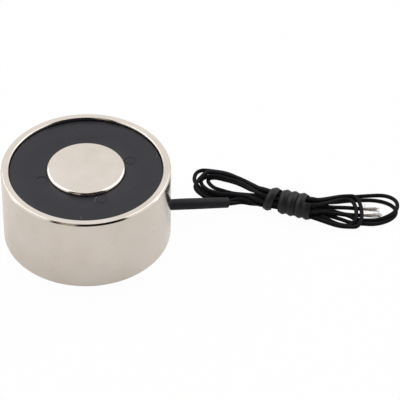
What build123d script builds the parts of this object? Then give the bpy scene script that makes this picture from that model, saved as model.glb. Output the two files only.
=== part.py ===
"""Round holding electromagnet: a turned pot with a centre pole, a potted coil and two tied leads.

The origin is the centre of the back face, +Z points out of the pole face, and +X is the side
on which the leads lie. All sizes are in millimetres.
"""

import os
from math import cos, pi, radians, sin, tan

from build123d import *

# Pot housing: a turned steel cup
POT_RADIUS = 32.5
POT_HEIGHT = 32.0
WALL = 3.0
FLOOR = 5.5
OUTER_CHAMFER = 0.5
BORE_CHAMFER = 0.25
BACK_CHAMFER = 0.5
BORE_RADIUS = POT_RADIUS - WALL

# Centre pole: a turned core with a spigot pressed into the floor
POLE_EDGE_RADIUS = 0.85
SPIGOT_RADIUS = 8.0
SPIGOT_EDGE = 0.4
PRESS_GAP = 0.02
TAP_DRILL_RADIUS = 3.4
THREAD_DEPTH = 12.0
THREAD_MOUTH_RADIUS = 4.2
DRILL_POINT_DEPTH = 1.9

# Bobbin: one moulding whose front flange is the black face of the magnet
FACE_RECESS = 1.2
FRONT_FLANGE = 1.8
BACK_FLANGE = 1.2
TUBE_WALL = 1.2
BOBBIN_TO_POLE = 0.15
BOBBIN_TO_BORE = 0.2
BOBBIN_TO_FLOOR = 0.1
BACK_FLANGE_OVERHANG = 0.8
FLANGE_EDGE = 0.3
EJECTOR_MARK_RADIUS = 2.2
EJECTOR_MARK_DEPTH = 0.15
EJECTOR_MARK_INSET = 2.55
EJECTOR_MARK_COUNT = 4
EJECTOR_MARK_START = 18.0
START_NOTCH_WIDTH = 2.0
START_NOTCH_DEPTH = 4.0

# Coil: winding, tape and the resin round them
WINDING_DEPTH = 8.75
WINDING_TO_BOBBIN = 0.1
TAPE = 0.25
TAPE_MARGIN = 1.6
MAGNET_WIRE_RADIUS = 0.3
TAIL_BEND_RADIUS = 0.9
TAIL_SINK = 1.0

# Leads: two insulated wires in one sleeve through the side of the pot
LEAD_RADIUS = 0.7
LEAD_PITCH = 1.44
SLEEVE_RADIUS = 2.0
SLEEVE_BORE_RADIUS = 1.5
LEAD_HOLE_GAP = 0.1
LEAD_ANGLE = 12.0
LEAD_HEIGHT = 8.0
SLEEVE_INSIDE = 0.9
LEAD_TURN_RADIUS = 1.5
LEAD_RISER_INSET = 2.5
LEAD_RISER_PITCH = 2.7
LEAD_SPREAD_RISE = 2.6
LEAD_SPREAD_RADIUS = 7.0
LEAD_RISE = 5.5

# Splices: the leads' joints to the coil's ends, each under a shrunk sleeve
SPLICE_RADIUS = 0.6
SPLICE_LENGTH = 5.0
SPLICE_SLEEVE_RADIUS = 1.2
SPLICE_SLEEVE_BORE = 0.75
SPLICE_SLEEVE_LENGTH = 9.5
SPLICE_OVERLAP = 2.0
SPLICE_TO_TAPE = 0.35

# Free stretch of the leads, from the pot to the hank, point by point
SLEEVE_BEND = (34.7, 7.4, 7.9)
SLEEVE_MIDDLE = (44.8, 10.6, 5.75)
LEADS_AT_FLOOR = (56.4, 14.6, 2.6)
HANK_INLET = (60.6, 14.6, 2.6)
SLEEVE_END_SETBACK = 1.9
ARC_SHARE = 0.45

# Hank: the folded stretch of both leads, tied in the middle. Each fold is the outline round
# circles, given as x, y and radius, and each eye in a fold is another such outline
FOLD_HEIGHT = 4.0
FAR_FOLD_HEIGHT = 2.8
LEFT_FOLD = (49.9, 27.2, 8.9)
LEFT_NECK = (63.6, 17.6, 3.6)
LEFT_EYE = (51.0, 27.2, 2.6)
LEFT_EYE_TIP = (61.4, 23.3, 0.7)
INLET_LOW = 12.9
INLET_HIGH = 16.4
INLET_NOTCH = 12.0
INLET_LENGTH = 6.0
RIGHT_EDGE = 108.1
NEAR_FOLD = (
    (RIGHT_EDGE - 5.0, 15.0, 5.0),
    (RIGHT_EDGE - 4.8, 5.6, 4.8),
    (93.0, 8.6, 4.0),
)
FAR_FOLD = (
    (113.0, 16.2, 7.2),
    (112.8, 11.6, 7.0),
    (115.2, 13.9, 7.4),
    (102.0, 16.5, 3.0),
    (102.0, 7.0, 3.0),
)
FAR_EYE = (
    (112.6, 15.4, 3.4),
    (112.4, 10.9, 2.9),
    (115.4, 13.6, 3.6),
    (RIGHT_EDGE + 2.0, 14.8, 2.0),
    (RIGHT_EDGE + 2.0, 10.0, 2.0),
)

# Tie: a flat ribbon with a raised core, wound round the middle of the hank
TIE_START = (68.9, 15.3)
TIE_END = (87.4, 9.8)
TIE_TO_FLOOR = 0.04
WAIST_RADIUS = 3.5
WAIST_OVERRUN = 1.4
WAIST_TAPER = 6.0
WAIST_FOOT_WIDTH = 8.6
TIE_GAP = 0.08
TIE_WIDTH = 3.3
TIE_THICKNESS = 0.5
TIE_CORE_RADIUS = 0.7
TIE_TURNS = 4.6

# Stripped ends: a fan of fine strands on each lead, given by its root and its tip
STRAND_RADIUS = 0.14
STRAND_COUNT = 5
STRAND_FAN = 15.0
STRAND_ROOT_RADIUS = 0.45
STRAND_ROOT_LENGTH = 2.2
STRIPPED_ENDS = (
    ((RIGHT_EDGE, 14.1, 0.7), (115.0, 14.0, 0.45)),
    ((RIGHT_EDGE, 10.4, 0.7), (114.2, 11.6, 0.45)),
)

EDGE_BAND = 0.01

# Sizes that follow from those above, from the pot's bore inwards to the pole
LEAD_RISER_RADIUS = BORE_RADIUS - LEAD_RISER_INSET
TAPE_RADIUS = LEAD_RISER_RADIUS - SPLICE_SLEEVE_RADIUS - SPLICE_TO_TAPE
WINDING_RADIUS = TAPE_RADIUS - TAPE
WINDING_BORE = WINDING_RADIUS - WINDING_DEPTH
BOBBIN_TUBE = WINDING_BORE - WINDING_TO_BOBBIN
BOBBIN_BORE = BOBBIN_TUBE - TUBE_WALL
POLE_RADIUS = BOBBIN_BORE - BOBBIN_TO_POLE
BOBBIN_RADIUS = BORE_RADIUS - BOBBIN_TO_BORE
BACK_FLANGE_RADIUS = WINDING_RADIUS + BACK_FLANGE_OVERHANG
EJECTOR_MARK_CIRCLE = BOBBIN_BORE + EJECTOR_MARK_INSET
FACE_HEIGHT = POT_HEIGHT - FACE_RECESS
BOBBIN_BOTTOM = FLOOR + BOBBIN_TO_FLOOR
WINDING_BOTTOM = BOBBIN_BOTTOM + BACK_FLANGE + WINDING_TO_BOBBIN
WINDING_TOP = FACE_HEIGHT - FRONT_FLANGE - WINDING_TO_BOBBIN
SPLICE_BOTTOM = LEAD_HEIGHT + LEAD_RISE
SPLICE_TOP = SPLICE_BOTTOM + SPLICE_LENGTH
TAIL_HEIGHT = WINDING_TOP - TAPE_MARGIN / 2
TIE_HEIGHT = TIE_TO_FLOOR + 2 * TIE_CORE_RADIUS + TIE_GAP + WAIST_RADIUS

RADIAL = Vector(cos(radians(LEAD_ANGLE)), sin(radians(LEAD_ANGLE)), 0)
ACROSS = Vector(-sin(radians(LEAD_ANGLE)), cos(radians(LEAD_ANGLE)), 0)
UP = Vector(0, 0, 1)
SIDES = (-1, 1)


def in_pot(radius, across, height):
    """Point at a radius along the lead hole's direction, a step across it and a height."""
    return RADIAL * radius + ACROSS * across + UP * height


def beside(points, across):
    """Points a level step aside from a route, so that the runs stay as far apart all along."""
    normals = []
    for start, end in zip(points, points[1:]):
        normals.append(Vector(start.Y - end.Y, end.X - start.X, 0).normalized())
    moved = []
    for point, left, right in zip(points, normals[:1] + normals, normals + normals[-1:]):
        moved.append(point + (left + right) * (across / (1 + left.dot(right))))
    return moved


def lead_route(across):
    """Points of one lead from its splice to the hank, beside the middle line by a step."""
    riser = across * LEAD_RISER_PITCH / LEAD_PITCH
    middle_line = [
        in_pot(LEAD_RISER_RADIUS, 0, LEAD_HEIGHT),
        Vector(*SLEEVE_BEND),
        Vector(*SLEEVE_MIDDLE),
        Vector(*LEADS_AT_FLOOR),
        Vector(*HANK_INLET),
    ]
    return [
        in_pot(LEAD_RISER_RADIUS, riser, SPLICE_BOTTOM),
        in_pot(LEAD_RISER_RADIUS, riser, LEAD_HEIGHT + LEAD_SPREAD_RISE),
        *beside(middle_line, across),
    ]


def corner_radii(points):
    """Radius of the arc at each corner: as large as the two runs beside it allow."""
    radii = []
    for before, corner, after in zip(points, points[1:], points[2:]):
        run_in = corner - before
        run_out = after - corner
        half_turn = radians(run_in.get_angle(run_out)) / 2
        radii.append(ARC_SHARE * min(run_in.length, run_out.length) / tan(half_turn))
    return radii


def run_length(points, radii):
    """Length of straight runs joined by tangent arcs."""
    length = sum((b - a).length for a, b in zip(points, points[1:]))
    for before, corner, after, radius in zip(points, points[1:], points[2:], radii):
        turn = radians((corner - before).get_angle(after - corner))
        length += radius * (turn - 2 * tan(turn / 2))
    return length


def rims_at(part, height):
    """Circular edges of a part at one height, from the smallest to the largest."""
    circles = part.edges().filter_by(GeomType.CIRCLE)
    level = circles.filter_by_position(Axis.Z, height - EDGE_BAND, height + EDGE_BAND)
    return level.sort_by(SortBy.RADIUS)


# Pot housing
with BuildPart() as pot_housing:
    with BuildSketch(Plane.XZ):
        with BuildLine():
            Polyline(
                (SPIGOT_RADIUS + PRESS_GAP, 0),
                (POT_RADIUS, 0),
                (POT_RADIUS, POT_HEIGHT),
                (BORE_RADIUS, POT_HEIGHT),
                (BORE_RADIUS, FLOOR),
                (SPIGOT_RADIUS + PRESS_GAP, FLOOR),
                close=True,
            )
        make_face()
    revolve(axis=Axis.Z)
    chamfer(rims_at(pot_housing, POT_HEIGHT)[-1], OUTER_CHAMFER)
    chamfer(rims_at(pot_housing, POT_HEIGHT)[0], BORE_CHAMFER)
    chamfer(rims_at(pot_housing, 0)[-1], BACK_CHAMFER)
    with BuildSketch(Plane(origin=in_pot(POT_RADIUS - WALL / 2, 0, LEAD_HEIGHT), z_dir=RADIAL)):
        Circle(SLEEVE_RADIUS + LEAD_HOLE_GAP)
    extrude(amount=WALL, both=True, mode=Mode.SUBTRACT)
pot_housing.part.label = "pot_housing"

# Centre pole
with BuildPart() as centre_pole:
    with BuildSketch(Plane.XZ):
        with BuildLine():
            Polyline(
                (THREAD_MOUTH_RADIUS, 0),
                (SPIGOT_RADIUS - SPIGOT_EDGE, 0),
                (SPIGOT_RADIUS, SPIGOT_EDGE),
                (SPIGOT_RADIUS, FLOOR),
                (POLE_RADIUS, FLOOR),
                (POLE_RADIUS, POT_HEIGHT),
                (0, POT_HEIGHT),
                (0, THREAD_DEPTH + DRILL_POINT_DEPTH),
                (TAP_DRILL_RADIUS, THREAD_DEPTH),
                (TAP_DRILL_RADIUS, THREAD_MOUTH_RADIUS - TAP_DRILL_RADIUS),
                close=True,
            )
        make_face()
    revolve(axis=Axis.Z)
    fillet(rims_at(centre_pole, POT_HEIGHT), POLE_EDGE_RADIUS)
centre_pole.part.label = "centre_pole"

# Bobbin
with BuildPart() as bobbin:
    with BuildSketch(Plane.XZ):
        with BuildLine():
            Polyline(
                (BOBBIN_BORE, BOBBIN_BOTTOM),
                (BACK_FLANGE_RADIUS, BOBBIN_BOTTOM),
                (BACK_FLANGE_RADIUS, BOBBIN_BOTTOM + BACK_FLANGE),
                (BOBBIN_TUBE, BOBBIN_BOTTOM + BACK_FLANGE),
                (BOBBIN_TUBE, FACE_HEIGHT - FRONT_FLANGE),
                (BOBBIN_RADIUS, FACE_HEIGHT - FRONT_FLANGE),
                (BOBBIN_RADIUS, FACE_HEIGHT - FLANGE_EDGE),
                (BOBBIN_RADIUS - FLANGE_EDGE, FACE_HEIGHT),
                (BOBBIN_BORE, FACE_HEIGHT),
                close=True,
            )
        make_face()
    revolve(axis=Axis.Z)
    with BuildSketch(Plane.XY.offset(FACE_HEIGHT)):
        with PolarLocations(EJECTOR_MARK_CIRCLE, EJECTOR_MARK_COUNT, start_angle=EJECTOR_MARK_START):
            Circle(EJECTOR_MARK_RADIUS)
    extrude(amount=-EJECTOR_MARK_DEPTH, mode=Mode.SUBTRACT)
    with BuildSketch(Plane.XY.offset(BOBBIN_BOTTOM)):
        with PolarLocations(BACK_FLANGE_RADIUS, 1, start_angle=LEAD_ANGLE):
            Rectangle(2 * START_NOTCH_DEPTH, START_NOTCH_WIDTH)
    extrude(amount=BACK_FLANGE, mode=Mode.SUBTRACT)
bobbin.part.label = "bobbin"

# Coil winding, with the two wire ends that run down to the splices
with BuildPart() as coil_winding:
    with BuildSketch(Plane.XY.offset(WINDING_BOTTOM)):
        Circle(WINDING_RADIUS)
        Circle(WINDING_BORE, mode=Mode.SUBTRACT)
    extrude(amount=WINDING_TOP - WINDING_BOTTOM)
    for side in SIDES:
        with BuildLine() as tail:
            FilletPolyline(
                in_pot(LEAD_RISER_RADIUS, side * LEAD_RISER_PITCH / 2, SPLICE_TOP),
                in_pot(LEAD_RISER_RADIUS, side * LEAD_RISER_PITCH / 2, TAIL_HEIGHT),
                in_pot(WINDING_RADIUS - TAIL_SINK, side * LEAD_RISER_PITCH / 2, TAIL_HEIGHT),
                radius=TAIL_BEND_RADIUS,
            )
        with BuildSketch(Plane(origin=tail.line @ 0, z_dir=tail.line % 0)):
            Circle(MAGNET_WIRE_RADIUS)
        sweep(path=tail.line)
coil_winding.part.label = "coil_winding"

# Winding tape
with BuildPart() as winding_tape:
    with BuildSketch(Plane.XY.offset(WINDING_BOTTOM)):
        Circle(TAPE_RADIUS)
        Circle(WINDING_RADIUS, mode=Mode.SUBTRACT)
    extrude(amount=WINDING_TOP - TAPE_MARGIN - WINDING_BOTTOM)
winding_tape.part.label = "winding_tape"

# Leads, from the splice out to the hank
lead_wires = []
for number, side in enumerate(SIDES, start=1):
    route = lead_route(side * LEAD_PITCH / 2)
    radii = corner_radii(route)
    radii[:2] = LEAD_SPREAD_RADIUS, LEAD_TURN_RADIUS
    with BuildPart() as lead_wire:
        with BuildLine() as lead_line:
            FilletPolyline(*route, radius=radii)
        with BuildSketch(Plane(origin=lead_line.line @ 0, z_dir=lead_line.line % 0)):
            Circle(LEAD_RADIUS)
        sweep(path=lead_line.line)
    lead_wire.part.label = f"lead_wire_{number}"
    lead_wires.append(lead_wire.part)
    expected = pi * LEAD_RADIUS**2 * run_length(route, radii)
    print(lead_wire.part.label, "radii", [round(r, 1) for r in radii])
    print(lead_wire.part.label, "volume", round(lead_wire.part.volume, 2), "expected", round(expected, 2))

# Sleeve over both leads, through the side of the pot
sleeve_run = (Vector(*LEADS_AT_FLOOR) - Vector(*SLEEVE_MIDDLE)).normalized()
sleeve_route = [
    in_pot(BORE_RADIUS - SLEEVE_INSIDE, 0, LEAD_HEIGHT),
    Vector(*SLEEVE_BEND),
    Vector(*SLEEVE_MIDDLE),
    Vector(*LEADS_AT_FLOOR) - sleeve_run * SLEEVE_END_SETBACK,
]
with BuildPart() as lead_sleeve:
    with BuildLine() as sleeve_line:
        FilletPolyline(*sleeve_route, radius=corner_radii(sleeve_route))
    with BuildSketch(Plane(origin=sleeve_line.line @ 0, z_dir=sleeve_line.line % 0)):
        Circle(SLEEVE_RADIUS)
        Circle(SLEEVE_BORE_RADIUS, mode=Mode.SUBTRACT)
    sweep(path=sleeve_line.line)
lead_sleeve.part.label = "lead_sleeve"
print("lead_sleeve radii", [round(r, 1) for r in corner_radii(sleeve_route)])

# Splices and the shrunk sleeves over them
splices = []
for number, side in enumerate(SIDES, start=1):
    foot = in_pot(LEAD_RISER_RADIUS, side * LEAD_RISER_PITCH / 2, SPLICE_BOTTOM)
    with BuildPart() as splice:
        with BuildSketch(Plane(origin=foot)):
            Circle(SPLICE_RADIUS)
        extrude(amount=SPLICE_LENGTH)
        fillet(splice.edges().sort_by(Axis.Z)[-1], SPLICE_RADIUS / 2)
    splice.part.label = f"splice_{number}"
    splices.append(splice.part)
    with BuildPart() as splice_sleeve:
        with BuildSketch(Plane(origin=foot - UP * SPLICE_OVERLAP)):
            Circle(SPLICE_SLEEVE_RADIUS)
            Circle(SPLICE_SLEEVE_BORE, mode=Mode.SUBTRACT)
        extrude(amount=SPLICE_SLEEVE_LENGTH)
    splice_sleeve.part.label = f"splice_sleeve_{number}"
    splices.append(splice_sleeve.part)

# Potting resin, cast round the coil and everything that lies beside it
with BuildPart() as potting_resin:
    with BuildSketch(Plane.XZ):
        with BuildLine():
            Polyline(
                (BACK_FLANGE_RADIUS, FLOOR),
                (BORE_RADIUS, FLOOR),
                (BORE_RADIUS, WINDING_TOP),
                (TAPE_RADIUS, WINDING_TOP),
                (TAPE_RADIUS, BOBBIN_BOTTOM + BACK_FLANGE),
                (BACK_FLANGE_RADIUS, BOBBIN_BOTTOM + BACK_FLANGE),
                close=True,
            )
        make_face()
    revolve(axis=Axis.Z)
    with BuildSketch(Plane(origin=in_pot(BORE_RADIUS - SLEEVE_INSIDE, 0, LEAD_HEIGHT), z_dir=RADIAL)):
        Circle(SLEEVE_RADIUS + LEAD_HOLE_GAP)
    extrude(amount=2 * SLEEVE_INSIDE, both=True, mode=Mode.SUBTRACT)
    for side in SIDES:
        foot = in_pot(LEAD_RISER_RADIUS, side * LEAD_RISER_PITCH / 2, SPLICE_BOTTOM - SPLICE_OVERLAP)
        with BuildSketch(Plane(origin=foot)):
            Circle(SPLICE_SLEEVE_RADIUS)
        extrude(amount=SPLICE_SLEEVE_LENGTH, mode=Mode.SUBTRACT)
    for wire in (*lead_wires, coil_winding.part):
        add(wire, mode=Mode.SUBTRACT)
potting_resin.part.label = "potting_resin"

# Hank: the folds of both leads as one solid of their outer shape
tie_start = Vector(*TIE_START, TIE_HEIGHT)
tie_end = Vector(*TIE_END, TIE_HEIGHT)
tie_length = (tie_end - tie_start).length
tie_run = (tie_end - tie_start).normalized()
tie_across = Vector(-tie_run.Y, tie_run.X, 0)
waist_start = tie_start - tie_run * WAIST_OVERRUN
waist_end = tie_end + tie_run * WAIST_OVERRUN
with BuildPart() as lead_hank:
    with BuildSketch():
        for x, y, radius in (LEFT_FOLD, LEFT_NECK):
            with Locations((x, y)):
                Circle(radius)
        make_hull()
        with Locations((HANK_INLET[0], INLET_HIGH)):
            Rectangle(INLET_NOTCH, INLET_NOTCH, align=(Align.MAX, Align.MAX), mode=Mode.SUBTRACT)
        with Locations((HANK_INLET[0], INLET_LOW)):
            Rectangle(INLET_LENGTH, INLET_HIGH - INLET_LOW, align=Align.MIN)
    extrude(amount=FOLD_HEIGHT)
    with BuildSketch():
        for x, y, radius in (LEFT_EYE, LEFT_EYE_TIP):
            with Locations((x, y)):
                Circle(radius)
        make_hull()
    extrude(amount=FOLD_HEIGHT, mode=Mode.SUBTRACT)
    with BuildSketch():
        for x, y, radius in FAR_FOLD:
            with Locations((x, y)):
                Circle(radius)
        make_hull()
    extrude(amount=FAR_FOLD_HEIGHT)
    with BuildSketch():
        for x, y, radius in FAR_EYE:
            with Locations((x, y)):
                Circle(radius)
        make_hull()
    extrude(amount=FAR_FOLD_HEIGHT, mode=Mode.SUBTRACT)
    with BuildSketch():
        for x, y, radius in NEAR_FOLD:
            with Locations((x, y)):
                Circle(radius)
        make_hull()
    extrude(amount=FOLD_HEIGHT)
    with BuildSketch(Plane(origin=waist_start, x_dir=tie_across, z_dir=tie_run)):
        Circle(WAIST_RADIUS)
    extrude(amount=tie_length + 2 * WAIST_OVERRUN)
    for end, outward in ((waist_start, -1), (waist_end, 1)):
        foot = end + tie_run * outward * WAIST_TAPER
        foot = Vector(foot.X, foot.Y, FOLD_HEIGHT / 2)
        with BuildSketch(Plane(origin=end, x_dir=tie_across, z_dir=tie_run)):
            Circle(WAIST_RADIUS)
        with BuildSketch(Plane(origin=foot, x_dir=tie_across, z_dir=tie_run)):
            Ellipse(WAIST_FOOT_WIDTH / 2, FOLD_HEIGHT / 2)
        loft()
lead_hank.part.label = "lead_hank"

# Tie: one ribbon with a raised core, wound as a helix round the waist of the hank
with BuildPart() as hank_tie:
    with BuildLine() as tie_line:
        Helix(
            pitch=(tie_length - TIE_WIDTH) / TIE_TURNS,
            height=tie_length - TIE_WIDTH,
            radius=WAIST_RADIUS + TIE_GAP + TIE_THICKNESS / 2,
            center=tie_start + tie_run * TIE_WIDTH / 2,
            direction=tie_run,
        )
    with BuildSketch(Plane(origin=tie_line.line @ 0, x_dir=tie_run, z_dir=tie_line.line % 0)):
        Rectangle(TIE_WIDTH, TIE_THICKNESS)
        with Locations((0, TIE_CORE_RADIUS - TIE_THICKNESS / 2)):
            Circle(TIE_CORE_RADIUS)
    sweep(path=tie_line.line, is_frenet=True)
hank_tie.part.label = "hank_tie"

# Stripped ends: a short twist that opens into separate strands
conductor_ends = []
for number, (root, tip) in enumerate(STRIPPED_ENDS, start=1):
    run = Vector(*tip) - Vector(*root)
    with BuildPart() as conductor_end:
        with BuildSketch(Plane(origin=root, z_dir=(1, 0, 0))):
            Circle(STRAND_ROOT_RADIUS)
        extrude(amount=STRAND_ROOT_LENGTH)
        for strand in range(STRAND_COUNT):
            turn = STRAND_FAN * (strand / (STRAND_COUNT - 1) - 0.5)
            start = Vector(*root) + Vector(STRAND_ROOT_LENGTH / 2, 0, 0)
            with BuildSketch(Plane(origin=start, z_dir=run.rotate(Axis.Z, turn))):
                Circle(STRAND_RADIUS)
            extrude(amount=run.length - STRAND_ROOT_LENGTH / 2)
    conductor_end.part.label = f"conductor_end_{number}"
    conductor_ends.append(conductor_end.part)

os.makedirs("parts", exist_ok=True)
for piece in (
    pot_housing.part,
    centre_pole.part,
    bobbin.part,
    coil_winding.part,
    winding_tape.part,
    potting_resin.part,
    lead_sleeve.part,
    *splices,
    *lead_wires,
    lead_hank.part,
    hank_tie.part,
    *conductor_ends,
):
    export_step(piece, f"parts/{piece.label}.step")
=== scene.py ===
"""Looks of a round holding electromagnet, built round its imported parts.

All places are in metres in the parts' own frame. The origin is the centre of the back face, which
rests on the table, +Z points out of the pole face, and +X is the side on which the leads lie.
"""

from __future__ import annotations

import logging
import math
import random
from dataclasses import dataclass, field
from enum import Enum
from typing import Callable, Iterable, Sequence

import bmesh
import bpy
import numpy as np
from mathutils import Matrix, Vector


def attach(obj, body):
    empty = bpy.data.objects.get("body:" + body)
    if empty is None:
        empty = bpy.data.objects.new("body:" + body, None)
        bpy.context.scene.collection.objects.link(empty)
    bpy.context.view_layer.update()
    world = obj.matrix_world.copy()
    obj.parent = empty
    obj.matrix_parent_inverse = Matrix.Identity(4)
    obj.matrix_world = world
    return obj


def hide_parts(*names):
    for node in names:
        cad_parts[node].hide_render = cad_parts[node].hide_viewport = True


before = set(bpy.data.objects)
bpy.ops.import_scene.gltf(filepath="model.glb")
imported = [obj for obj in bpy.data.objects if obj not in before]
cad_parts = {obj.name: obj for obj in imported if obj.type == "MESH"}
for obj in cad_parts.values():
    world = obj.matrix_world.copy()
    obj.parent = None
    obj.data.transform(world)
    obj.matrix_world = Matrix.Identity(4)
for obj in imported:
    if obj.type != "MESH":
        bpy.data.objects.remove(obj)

LOG = logging.getLogger("holding_magnet")
MM = 0.001
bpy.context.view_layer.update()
ROOT = "root"
FLOOR_DROP = 0.00002
TOUCHING = MM / 1000
SCRATCH_CORE = 0.4
GRAIN_BAND = (0.35, 0.65)
WHITE = (1.0, 1.0, 1.0, 1.0)

Pair = tuple[float, float]
Triple = tuple[float, float, float]
Colour = tuple[float, float, float, float]
Piece = bpy.types.Object
Material = bpy.types.Material
Socket = bpy.types.NodeSocket


class Slot(Enum):
    """The names of the record's material slots."""

    PLATED_STEEL = "plated_steel"
    BLACK_MOULDING = "black_moulding"
    LEAD_SLEEVE = "lead_sleeve"
    LEAD_INSULATION = "lead_insulation"
    TIE_RIBBON = "tie_ribbon"
    TINNED_COPPER = "tinned_copper"


class Side(Enum):
    """Which way a fold of the leads points from the tie."""

    LEFT = -1
    RIGHT = 1


class BundlePlace(Enum):
    """A wire's place in the tied bundle: its angle from the far side, in degrees, and its distance
    from the bundle's middle, in millimetres."""

    FAR_TOP = (34.0, 2.6)
    TOP_FAR = (79.0, 2.6)
    TOP_NEAR = (124.0, 2.6)
    NEAR_TOP = (169.0, 2.6)
    NEAR_BOTTOM = (214.0, 2.6)
    BOTTOM_NEAR = (259.0, 2.6)
    BOTTOM_FAR = (304.0, 2.6)
    FAR_BOTTOM = (349.0, 2.6)
    CORE_NEAR = (165.0, 0.82)
    CORE_FAR = (345.0, 0.82)


# Working with meshes


def deselect_all() -> None:
    """Leaves nothing selected."""
    bpy.ops.object.select_all(action="DESELECT")


def select_everything() -> None:
    """Selects the whole mesh, in edit mode."""
    bpy.ops.mesh.select_all(action="SELECT")


def mode(name: str) -> None:
    """Changes to edit mode or object mode."""
    bpy.ops.object.mode_set(mode=name)


def make_active(piece: Piece) -> None:
    """Selects one object alone and makes it the active one."""
    deselect_all()
    piece.select_set(True)
    bpy.context.view_layer.objects.active = piece


def select_points(piece: Piece, wanted: Callable[[Vector], bool]) -> None:
    """Selects the vertices at wanted places, in edit mode.

    Args:
        piece: The object in edit mode.
        wanted: Says of a place whether its vertex is selected.
    """
    mesh = bmesh.from_edit_mesh(piece.data)
    for vert in mesh.verts:
        vert.select_set(wanted(vert.co))
    mesh.select_flush(True)
    bmesh.update_edit_mesh(piece.data)


def put(name: str, data: bpy.types.ID) -> Piece:
    """Puts a new object with its data into the scene and returns it."""
    piece = bpy.data.objects.new(name, data)
    bpy.context.scene.collection.objects.link(piece)
    return piece


def apply_modifiers(piece: Piece) -> None:
    """Applies all modifiers of an object, in their order."""
    make_active(piece)
    for modifier in list(piece.modifiers):
        bpy.ops.object.modifier_apply(modifier=modifier.name)


def apply_place(piece: Piece) -> None:
    """Puts an object's place, turn and size into its mesh."""
    make_active(piece)
    bpy.ops.object.transform_apply(location=True, rotation=True, scale=True)


def smooth(piece: Piece, angle: float = 30.0) -> None:
    """Shades an object smooth, but for edges sharper than an angle in degrees."""
    make_active(piece)
    bpy.ops.object.shade_smooth_by_angle(angle=math.radians(angle))


def keep_faces_flat(piece: Piece) -> None:
    """Weights the normals by face size, so that flat faces stay flat beside their eased edges."""
    weighted = piece.modifiers.new("flat_faces", "WEIGHTED_NORMAL")
    weighted.keep_sharp = True
    weighted.weight = 100
    apply_modifiers(piece)


def face_outwards(piece: Piece) -> None:
    """Turns all faces of a mesh outwards."""
    make_active(piece)
    mode("EDIT")
    select_everything()
    bpy.ops.mesh.normals_make_consistent(inside=False)
    mode("OBJECT")


def smooth_curve(name: str, points: Sequence[Vector], resolution: int) -> Piece:
    """A smooth open curve that is drawn towards its points.

    Args:
        name: The new object's name.
        points: Its points, in millimetres.
        resolution: How many steps it has from point to point.

    Returns:
        The new curve object.
    """
    curve = bpy.data.curves.new(name, "CURVE")
    curve.dimensions = "3D"
    curve.resolution_u = resolution
    spline = curve.splines.new("NURBS")
    spline.points.add(len(points) - 1)
    for target, point in zip(spline.points, points):
        target.co = (*(point * MM), 1.0)
    spline.order_u = 3
    spline.use_endpoint_u = True
    return put(name, curve)


def to_mesh(piece: Piece) -> Piece:
    """Turns a curve object into a mesh object and returns it."""
    make_active(piece)
    bpy.ops.object.convert(target="MESH")
    return bpy.context.object


def swept(name: str, points: Sequence[Vector], radii: Sequence[float], resolution: int) -> Piece:
    """An open tube along a smooth line.

    Args:
        name: The new object's name.
        points: The line's points, in millimetres.
        radii: The tube's radius at each point, in millimetres.
        resolution: How many steps the line has from point to point.

    Returns:
        The new mesh object.
    """
    piece = smooth_curve(name, points, resolution)
    for target, radius in zip(piece.data.splines[0].points, radii):
        target.radius = radius
    piece.data.bevel_depth = MM
    piece.data.bevel_resolution = 14
    piece.data.use_fill_caps = False
    return to_mesh(piece)


@dataclass
class Corner:
    """One corner of an outline that is turned about the Z axis, in millimetres."""

    radius: float
    height: float
    ease: float = 0.0
    steps: int = 1

    def place(self) -> Vector:
        """Where the corner is, in metres."""
        return Vector((self.radius * MM, 0.0, self.height * MM))


def turned(name: str, corners: Sequence[Corner], steps: int) -> Piece:
    """Makes a turned piece: its outline is extruded point by point, eased and spun.

    Args:
        name: The new object's name.
        corners: The outline's corners in order. It closes on the axis or on its first corner.
        steps: How many steps the spin has.

    Returns:
        The new mesh object, at the origin.
    """
    deselect_all()
    bpy.ops.mesh.primitive_plane_add(size=MM, location=(0.0, 0.0, 0.0))
    piece = bpy.context.object
    piece.name = name
    mode("EDIT")
    bpy.ops.mesh.select_mode(type="VERT")
    select_points(piece, lambda place: place.x < 0 or place.y < 0)
    bpy.ops.mesh.delete(type="VERT")
    select_everything()
    here = Vector((MM / 2, MM / 2, 0.0))
    bpy.ops.transform.translate(value=corners[0].place() - here)
    outline = [corner.place() for corner in corners]
    if corners[0].radius > 0:
        outline.append(outline[0])
    for before, after in zip(outline, outline[1:]):
        bpy.ops.mesh.extrude_region_move(TRANSFORM_OT_translate={"value": after - before})
    select_everything()
    bpy.ops.mesh.remove_doubles(threshold=TOUCHING)
    for corner in corners:
        if corner.ease > 0:
            target = corner.place()
            select_points(piece, lambda place: (place - target).length < TOUCHING)
            size = corner.ease * MM
            bpy.ops.mesh.bevel(offset=size, segments=corner.steps, affect="VERTICES", clamp_overlap=True)
    select_everything()
    bpy.ops.mesh.spin(steps=steps, angle=math.tau, center=(0, 0, 0), axis=(0, 0, 1))
    select_everything()
    bpy.ops.mesh.remove_doubles(threshold=TOUCHING)
    bpy.ops.mesh.normals_make_consistent(inside=False)
    mode("OBJECT")
    return piece


def cut(piece: Piece, cutter: Piece) -> None:
    """Cuts one object out of another.

    Args:
        piece: The object that is cut.
        cutter: The object that is taken out of it, and is then removed.
    """
    modifier = piece.modifiers.new("cut", "BOOLEAN")
    modifier.operation = "DIFFERENCE"
    modifier.solver = "EXACT"
    modifier.object = cutter
    apply_modifiers(piece)
    bpy.data.objects.remove(cutter)


def join(pieces: Sequence[Piece]) -> Piece:
    """Joins several objects into the first one and returns it."""
    make_active(pieces[0])
    for piece in pieces:
        piece.select_set(True)
    bpy.ops.object.join()
    return pieces[0]


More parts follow.
